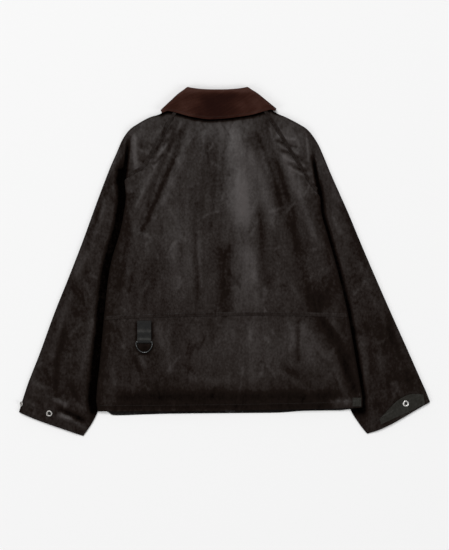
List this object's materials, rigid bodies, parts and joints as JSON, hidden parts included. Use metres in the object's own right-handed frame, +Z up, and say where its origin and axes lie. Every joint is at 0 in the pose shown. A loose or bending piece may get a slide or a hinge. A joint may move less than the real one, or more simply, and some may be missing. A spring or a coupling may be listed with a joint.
{
  "type": "waxed cotton jacket, laid flat with its back up",
  "caption": "Short boxy raglan jacket of dark waxed cotton with a brown needlecord collar, laid flat on its front, a D-ring in a webbing loop on its lower back.",
  "frame": {"origin": "middle of the laid-out jacket's box, on the surface it rests on", "axes": "+X across the back to the right as seen from above, +Y from the hem to the collar, +Z up from the surface"},
  "size_m": [0.905, 0.768, 0.0191],
  "materials": {
    "waxed_cotton": "dark brown-black cotton with a dry wax sheen",
    "needlecord": "fine-ribbed brown cotton cord",
    "cuff_tab": "olive-grey waxed cotton, lighter than the sleeve",
    "webbing": "dark woven cotton webbing",
    "nickel": "bright nickel press stud",
    "gunmetal": "dark plated wire"
  },
  "bodies": {
    "root": {"front_left": "waxed_cotton", "front_right": "waxed_cotton", "front_side_left": "waxed_cotton", "front_side_right": "waxed_cotton", "front_yoke_left": "waxed_cotton", "front_yoke_right": "waxed_cotton", "front_zip": "webbing", "sleeve_back_left": "waxed_cotton", "sleeve_front_left": "waxed_cotton", "sleeve_back_right": "waxed_cotton", "sleeve_front_right": "waxed_cotton", "back_lower": "waxed_cotton", "back_upper": "waxed_cotton", "collar": "needlecord", "cuff_tab_right": "cuff_tab", "hem_tab_right": "webbing", "ring_strap": "webbing", "snap_cuff_left": "nickel", "snap_edge_left": "nickel", "snap_cuff_right": "nickel"},
    "ring": {"d_ring": "gunmetal"}
  },
  "joints": [
    {"name": "ring_swing", "type": "hinge", "parent": "root", "child": "ring", "pos_m": [-0.176, -0.176, 0.016], "axis": [-1, 0, 0], "range_deg": [0, 170]}
  ]
}
